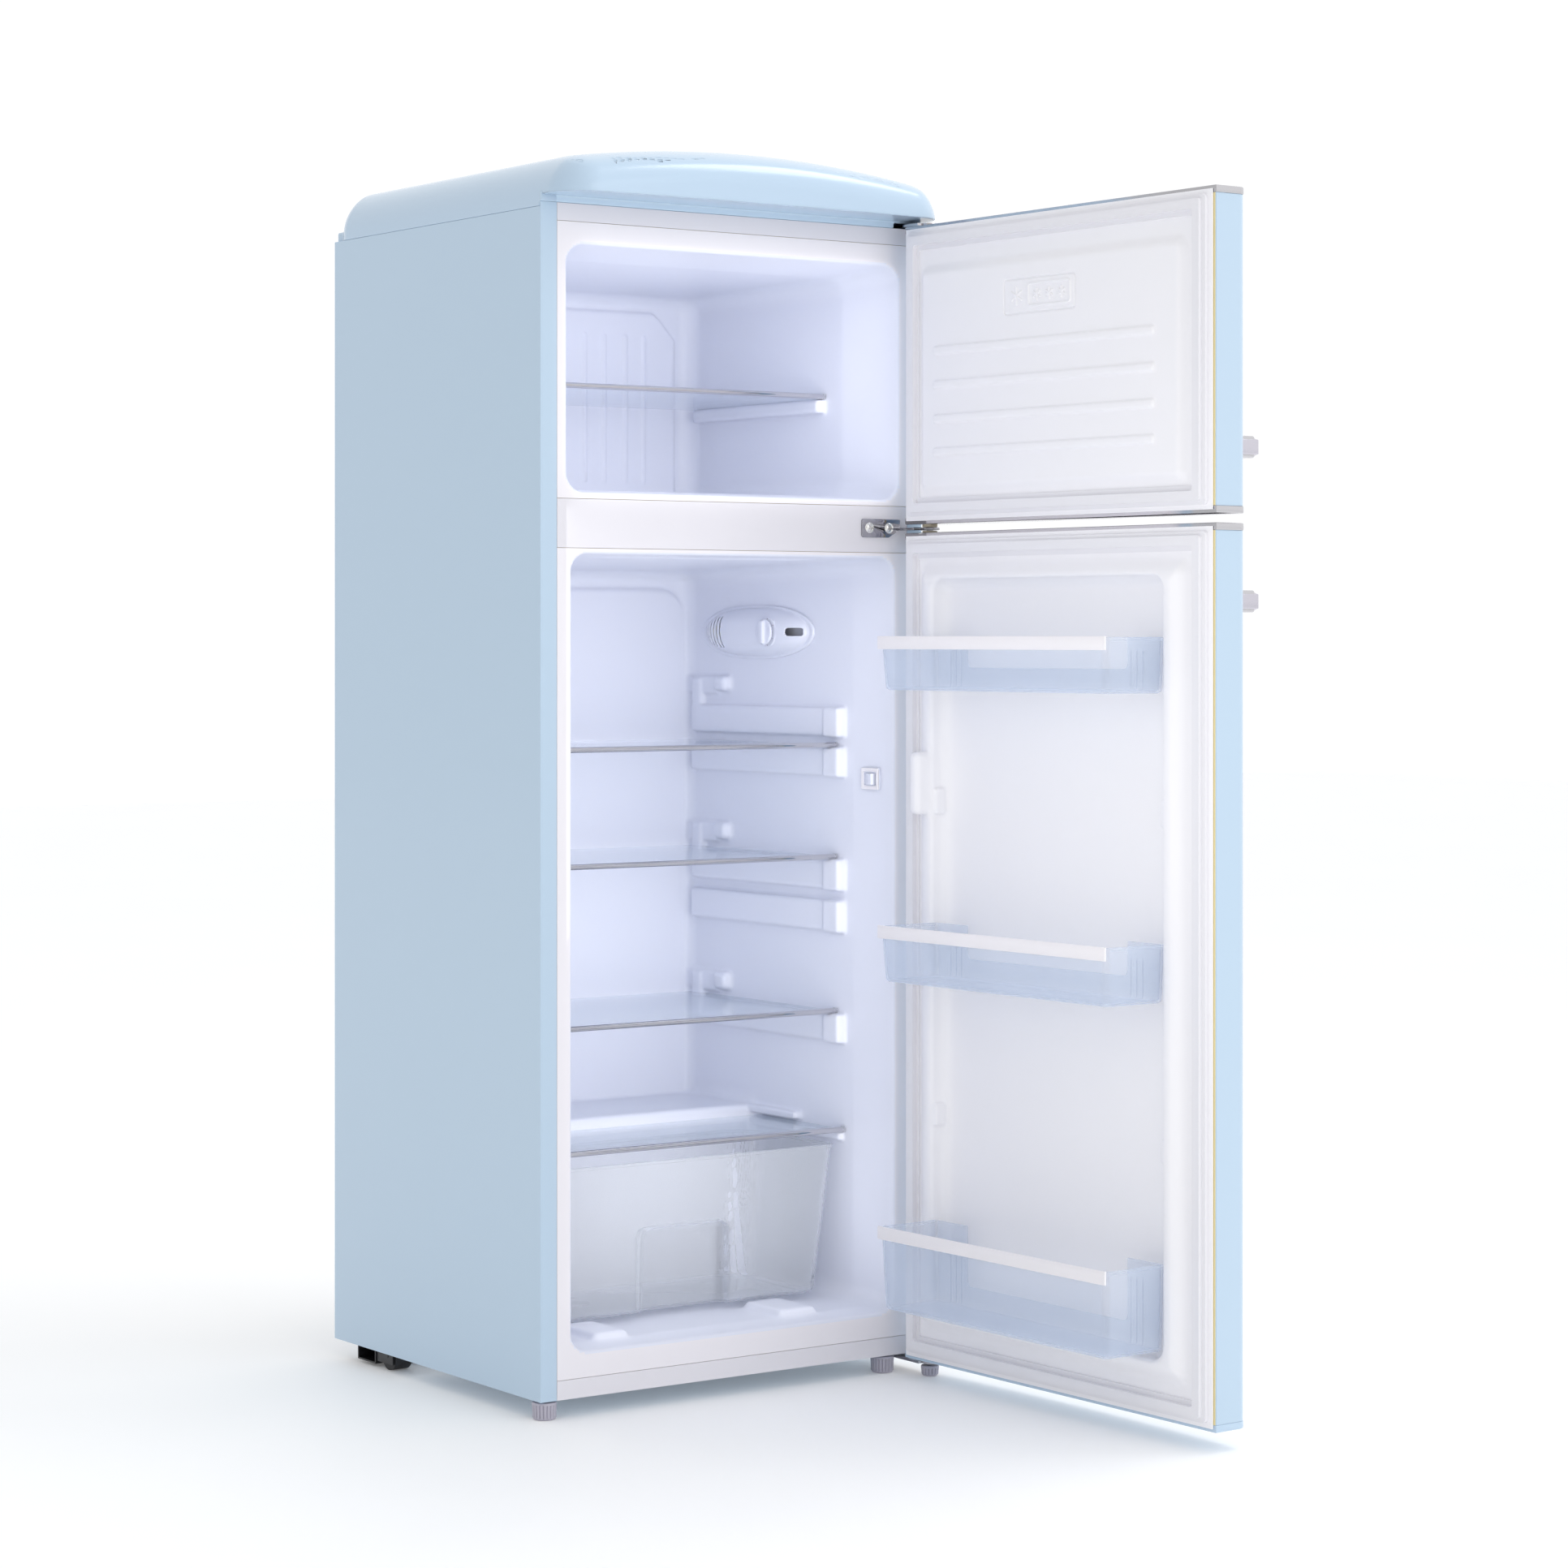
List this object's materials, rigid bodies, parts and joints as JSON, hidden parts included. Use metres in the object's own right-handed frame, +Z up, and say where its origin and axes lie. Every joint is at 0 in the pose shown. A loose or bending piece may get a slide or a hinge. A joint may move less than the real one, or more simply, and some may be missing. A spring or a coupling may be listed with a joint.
{
  "type": "top freezer refrigerator",
  "caption": "Free-standing retro top freezer refrigerator with domed lid, both doors open, glass shelves, crisper drawer, door bins and chrome bar handles.",
  "frame": {"origin": "centre of the base of the object's bounding box on the floor, with both doors standing open as modelled; the hinge axis lies at x 0.228, y 0.000", "axes": "+Z up; the front of the cabinet faces -Y and its back +Y; +X is to the right seen from the front, where the doors are hinged"},
  "size_m": [0.6107, 1.0685, 1.474],
  "materials": {
    "blue_paint": "gloss",
    "blue_plastic": "gloss",
    "galvanised": "satin",
    "foam": "matte",
    "liner_white": "satin",
    "rail_white": "satin",
    "trim_white": "satin",
    "chrome": "polished",
    "zinc_steel": "satin",
    "grey_plastic": "matte",
    "black_steel": "satin",
    "black_plastic": "matte",
    "aluminium_plate": "satin",
    "copper": "satin",
    "drain_plastic": "matte",
    "lamp_glass": "gloss",
    "shelf_glass": "polished",
    "clear_plastic": "gloss",
    "blue_clear_plastic": "gloss",
    "gasket_white": "matte"
  },
  "bodies": {
    "cabinet": {"cabinet_shell": "blue_paint", "back_panel": "galvanised", "insulation_foam": "foam", "freezer_liner": "liner_white", "fridge_liner": "liner_white", "front_cross_rails": "rail_white", "top_cap": "blue_plastic", "top_hinge": "chrome", "middle_hinge": "chrome", "bottom_hinge": "zinc_steel", "hinge_screws": "chrome", "rear_base_rail": "black_steel", "compressor": "black_steel", "terminal_box": "black_plastic", "condenser_coil": "black_steel", "evaporator_plates": "aluminium_plate", "filter_drier": "copper", "drain_pan": "black_plastic", "drain_tube": "drain_plastic", "power_inlet": "black_plastic", "thermostat_housing": "liner_white", "lamp": "lamp_glass", "door_switch_plate": "liner_white"},
    "freezer_door": {"freezer_door_skin": "blue_paint", "freezer_door_foam": "foam", "freezer_door_liner": "liner_white", "freezer_door_gasket": "gasket_white", "freezer_door_top_trim": "chrome", "freezer_door_bottom_trim": "chrome", "freezer_door_handle": "chrome"},
    "fridge_door": {"fridge_door_skin": "blue_paint", "fridge_door_foam": "foam", "fridge_door_liner": "liner_white", "fridge_door_gasket": "gasket_white", "fridge_door_top_trim": "chrome", "fridge_door_bottom_cap": "blue_plastic", "fridge_door_handle": "chrome"},
    "bin_1": {"door_bin_1": "blue_clear_plastic", "door_bin_1_trim": "trim_white"},
    "bin_2": {"door_bin_2": "blue_clear_plastic", "door_bin_2_trim": "trim_white"},
    "bin_3": {"door_bin_3": "blue_clear_plastic", "door_bin_3_trim": "trim_white"},
    "freezer_shelf": {"freezer_shelf_glass": "shelf_glass", "freezer_shelf_trim": "chrome"},
    "shelf_1": {"shelf_1_glass": "shelf_glass", "shelf_1_trim": "chrome"},
    "shelf_2": {"shelf_2_glass": "shelf_glass", "shelf_2_trim": "chrome"},
    "shelf_3": {"shelf_3_glass": "shelf_glass", "shelf_3_trim": "chrome"},
    "crisper_cover": {"crisper_cover_glass": "shelf_glass", "crisper_cover_trim": "chrome"},
    "crisper_drawer_body": {"crisper_drawer": "clear_plastic"},
    "thermostat_knob_body": {"thermostat_knob": "liner_white"},
    "switch_rocker": {"door_switch_rocker": "liner_white"},
    "foot_left": {"front_foot_left": "grey_plastic"},
    "foot_right": {"front_foot_right": "grey_plastic"},
    "foot_hinge": {"hinge_foot": "grey_plastic"},
    "rollers": {"rear_rollers": "black_plastic"}
  },
  "joints": [
    {"name": "freezer_door_hinge", "type": "hinge", "parent": "cabinet", "child": "freezer_door", "pos_m": [0.228, 0, 1.218], "axis": [0, 0, 1], "range_deg": [-91.5, 28.5]},
    {"name": "fridge_door_hinge", "type": "hinge", "parent": "cabinet", "child": "fridge_door", "pos_m": [0.228, 0, 0.525], "axis": [0, 0, 1], "range_deg": [-91.5, 28.5]},
    {"name": "bin_1_lift", "type": "slide", "parent": "fridge_door", "child": "bin_1", "axis": [0, 0, 1], "range_m": [0, 0.03]},
    {"name": "bin_2_lift", "type": "slide", "parent": "fridge_door", "child": "bin_2", "axis": [0, 0, 1], "range_m": [0, 0.03]},
    {"name": "bin_3_lift", "type": "slide", "parent": "fridge_door", "child": "bin_3", "axis": [0, 0, 1], "range_m": [0, 0.03]},
    {"name": "freezer_shelf_slide", "type": "slide", "parent": "cabinet", "child": "freezer_shelf", "axis": [0, -1, 0], "range_m": [0, 0.12]},
    {"name": "shelf_1_slide", "type": "slide", "parent": "cabinet", "child": "shelf_1", "axis": [0, -1, 0], "range_m": [0, 0.1]},
    {"name": "shelf_2_slide", "type": "slide", "parent": "cabinet", "child": "shelf_2", "axis": [0, -1, 0], "range_m": [0, 0.1]},
    {"name": "shelf_3_slide", "type": "slide", "parent": "cabinet", "child": "shelf_3", "axis": [0, -1, 0], "range_m": [0, 0.1]},
    {"name": "crisper_cover_slide", "type": "slide", "parent": "cabinet", "child": "crisper_cover", "axis": [0, -1, 0], "range_m": [0, 0.08]},
    {"name": "crisper_drawer_slide", "type": "slide", "parent": "cabinet", "child": "crisper_drawer_body", "axis": [0, -1, 0], "range_m": [0, 0.11]},
    {"name": "thermostat_knob_turn", "type": "hinge", "parent": "cabinet", "child": "thermostat_knob_body", "pos_m": [0.164, 0.268, 0.9065], "axis": [-1, 0, 0], "range_deg": [0, 270]},
    {"name": "door_switch_press", "type": "hinge", "parent": "cabinet", "child": "switch_rocker", "pos_m": [0.197, 0.085, 0.7255], "axis": [0, 0, 1], "range_deg": [0, 12], "stiffness_Nm_per_rad": 0.05},
    {"name": "foot_left_screw", "type": "hinge", "parent": "cabinet", "child": "foot_left", "pos_m": [-0.291, 0.0516, 0.01], "axis": [0, 0, 1], "continuous": true},
    {"name": "foot_right_screw", "type": "hinge", "parent": "cabinet", "child": "foot_right", "pos_m": [0.194, 0.052, 0.01], "axis": [0, 0, 1], "continuous": true},
    {"name": "hinge_foot_screw", "type": "hinge", "parent": "cabinet", "child": "foot_hinge", "pos_m": [0.228, 0, 0.008], "axis": [0, 0, 1], "continuous": true},
    {"name": "rollers_roll", "type": "hinge", "parent": "cabinet", "child": "rollers", "pos_m": [-0.031, 0.409, 0.018], "axis": [1, 0, 0], "continuous": true}
  ]
}
